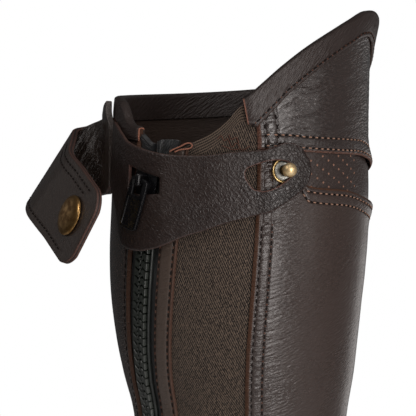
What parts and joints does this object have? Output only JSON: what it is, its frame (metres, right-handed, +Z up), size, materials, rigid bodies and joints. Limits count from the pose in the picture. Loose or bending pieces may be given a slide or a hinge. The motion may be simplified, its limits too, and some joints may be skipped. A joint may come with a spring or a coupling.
{
  "type": "leather half chap",
  "caption": "Leather half chap for a right leg: bound top, elastic gusset, back zip under a keeper strap with a ball stud, and a snap flap folded open, in its hollow worn form.",
  "frame": {"origin": "on the leg's axis, in the middle of the calf at its widest, 345 mm above the hem at the back", "axes": "+Z up the leg; the front of the leg faces -Y and the zip at its back +Y; the outer side of the leg faces -X"},
  "size_m": [0.1369, 0.1487, 0.4441],
  "materials": {
    "leather": "smooth, semi-gloss dark brown",
    "grained_leather": "pebble grain, semi-gloss dark brown",
    "elastic": "fine twill, matt",
    "tape": "woven, matt black",
    "teeth": "moulded, satin green-black",
    "black_metal": "satin black enamel",
    "brass": "polished",
    "old_brass": "antiqued, satin"
  },
  "bodies": {
    "half_chap": {"outer_panel": "leather", "yoke": "grained_leather", "garter_band": "leather", "inner_panel": "leather", "elastic_gusset": "elastic", "stay_strip": "leather", "outer_top_binding": "leather", "inner_top_binding": "leather", "zip_tape_left": "tape", "zip_tape_right": "tape", "zip_chain": "teeth", "zip_row_left": "teeth", "zip_row_right": "teeth", "zip_stop": "black_metal", "slider": "black_metal", "keeper_strap": "grained_leather", "stud_ring": "brass", "ball_stud": "brass", "closing_flap": "leather", "snap_cap": "old_brass", "snap_socket": "brass"},
    "pull": {"zip_pull": "black_metal"}
  },
  "joints": [
    {"name": "pull_swing", "type": "hinge", "parent": "half_chap", "child": "pull", "pos_m": [-0.00573, 0.063, 0.02527], "axis": [0.9445, 0.074, 0.3201], "range_deg": [0, 45]}
  ]
}
